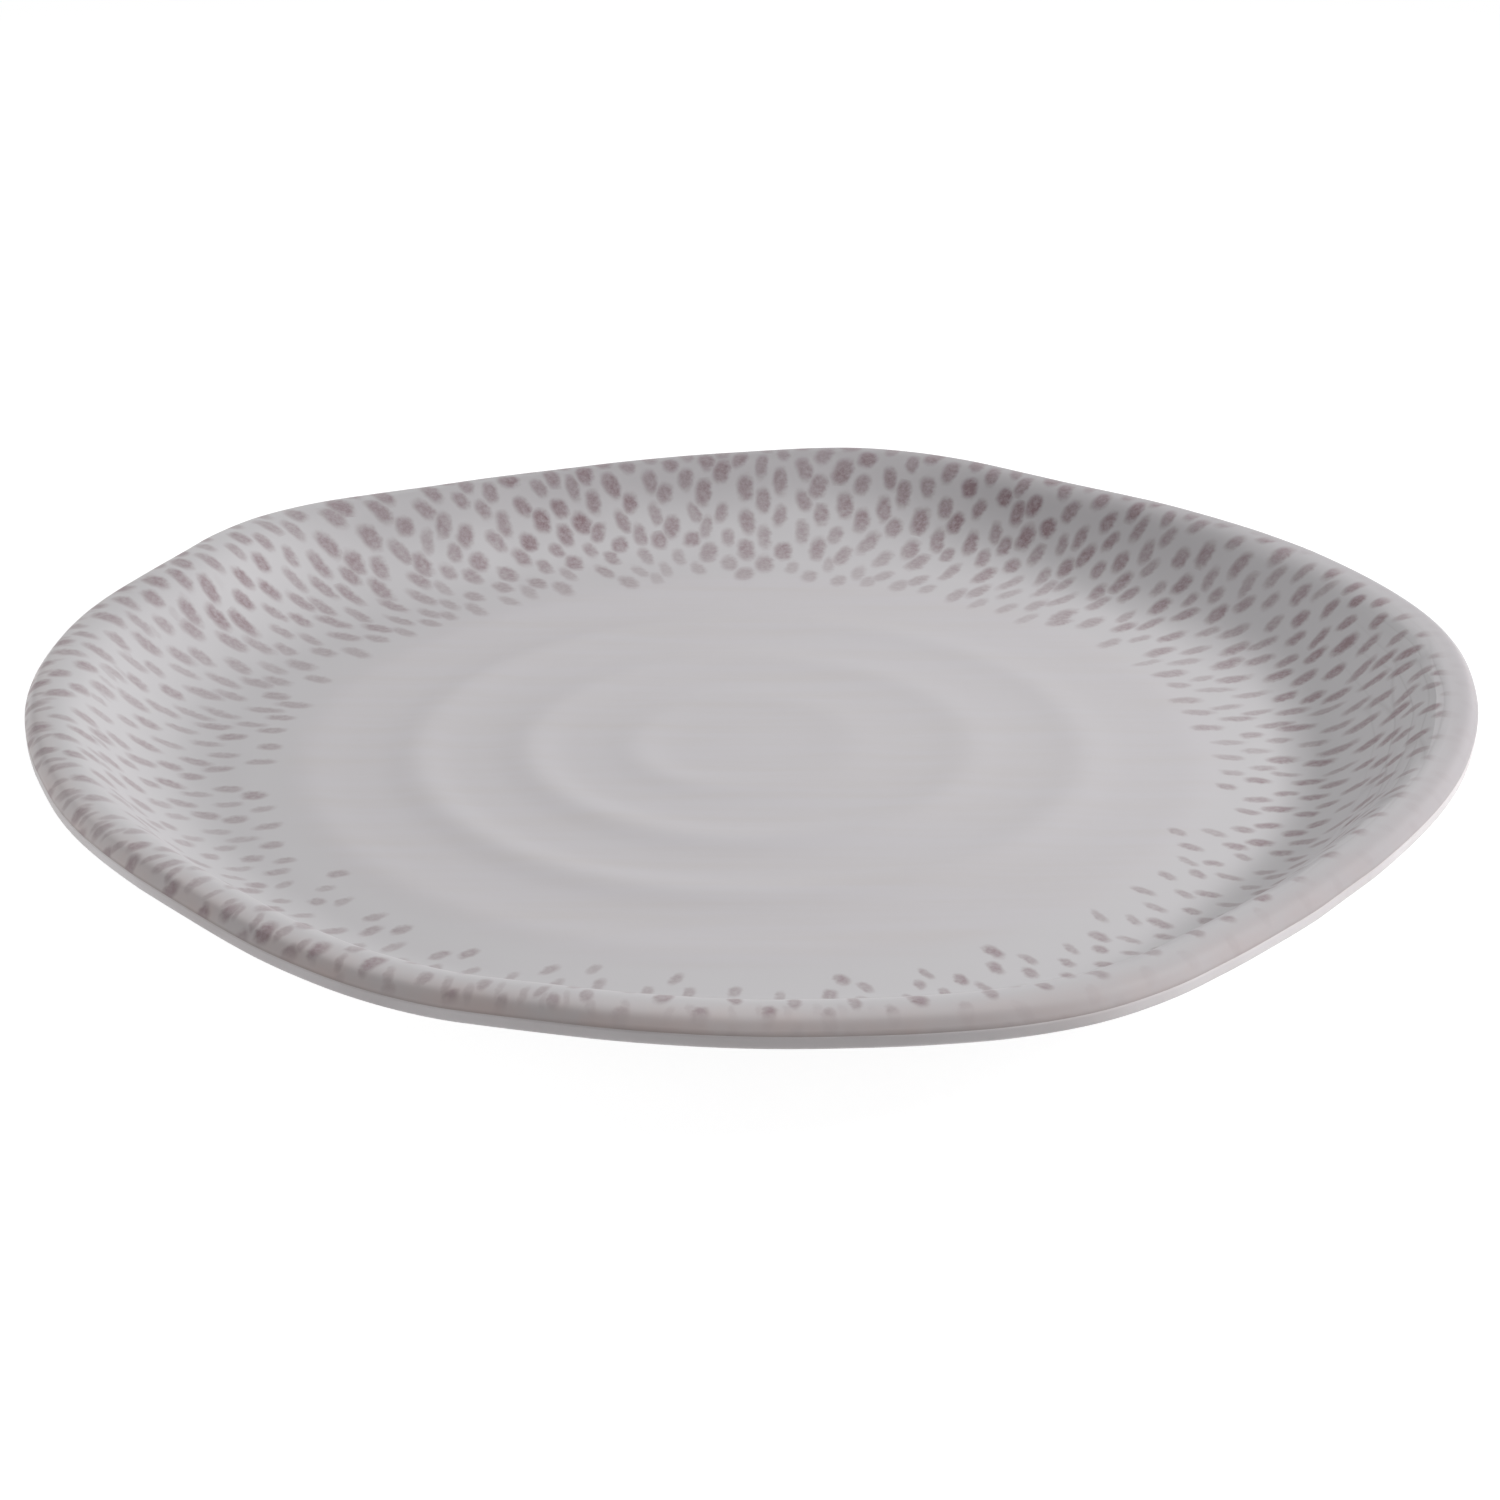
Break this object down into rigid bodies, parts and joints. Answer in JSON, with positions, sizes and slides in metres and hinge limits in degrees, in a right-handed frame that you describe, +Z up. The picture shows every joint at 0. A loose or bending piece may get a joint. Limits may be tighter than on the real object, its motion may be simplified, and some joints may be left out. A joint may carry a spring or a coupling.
{
  "type": "dinner plate",
  "caption": "Shallow dinner plate with a wavy hand-shaped rim, a rolled lip, a ringed floor and a foot ring, in moulded melamine with a printed foil under a clear glaze.",
  "frame": {"origin": "centre of the foot ring, on the table", "axes": "+Z up, out of the well; -Y towards the picture's viewer, +X to the viewer's right"},
  "size_m": [0.276, 0.2711, 0.0223],
  "materials": {
    "body": "satin",
    "foil": "satin",
    "glaze": "gloss"
  },
  "bodies": {
    "root": {"moulded_body": "body", "printed_foil": "foil", "clear_glaze": "glaze"}
  },
  "joints": []
}
